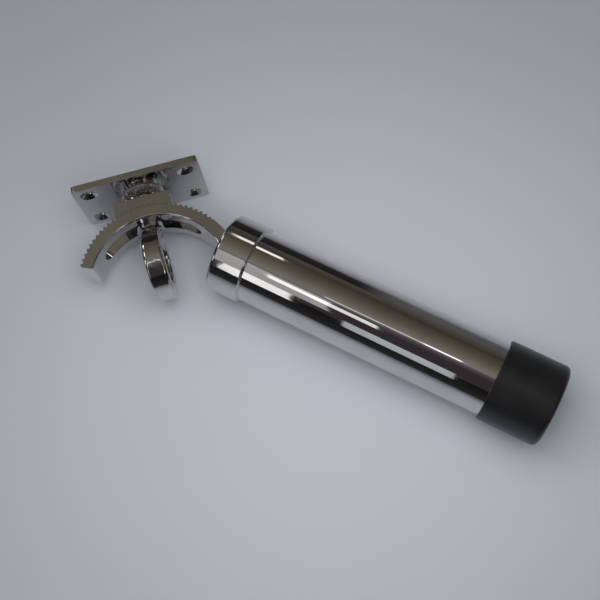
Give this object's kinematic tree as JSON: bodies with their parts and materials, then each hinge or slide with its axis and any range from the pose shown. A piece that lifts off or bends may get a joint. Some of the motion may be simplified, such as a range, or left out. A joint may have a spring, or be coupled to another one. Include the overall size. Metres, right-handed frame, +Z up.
{
  "type": "adjustable rod holder",
  "caption": "Side-mount fishing rod holder: a rubber-lipped tube on a toothed, slotted arc that swings on a bolted plate and is clamped by a ring nut.",
  "frame": {"origin": "centre of the base plate's flat back face", "axes": "+Y out of the back face, towards what the plate is bolted to; +X along the plate's length, towards the tube's side; +Z up as the holder lies, and the axis that the tube swings about is parallel to it"},
  "size_m": [0.2569, 0.214, 0.05],
  "materials": {
    "polished_steel": "mirror-polished marine stainless steel",
    "tube_steel": "polished drawn stainless tube",
    "turned_steel": "turned and threaded stainless steel",
    "weld_bead": "polished-over weld bead",
    "black_rubber": "satin black rubber"
  },
  "bodies": {
    "mount": {"base_plate": "polished_steel", "plate_weld": "weld_bead", "neck": "polished_steel", "saddle": "polished_steel", "stud": "turned_steel"},
    "shoe": {"clamp_washer": "polished_steel"},
    "nut": {"ring_nut": "polished_steel"},
    "holder": {"toothed_arc": "polished_steel", "arc_weld": "weld_bead", "end_cup": "polished_steel", "cup_seam": "weld_bead", "rod_tube": "tube_steel", "mouth_sleeve": "black_rubber"}
  },
  "joints": [
    {"name": "clamp_release", "type": "slide", "parent": "mount", "child": "shoe", "axis": [0, -1, 0], "range_m": [0, 0.00187]},
    {"name": "ring_nut_turn", "type": "hinge", "parent": "shoe", "child": "nut", "pos_m": [0, -0.0295, 0], "axis": [0, 1, 0], "range_deg": [0, 540]},
    {"name": "tube_sweep", "type": "hinge", "parent": "shoe", "child": "holder", "pos_m": [0, -0.0669, 0], "axis": [0, 0, 1], "range_deg": [-40, 32]}
  ],
  "couplings": [
    {"joint": "ring_nut_turn", "follows": "clamp_release", "rad_per_m": 5026.5}
  ]
}
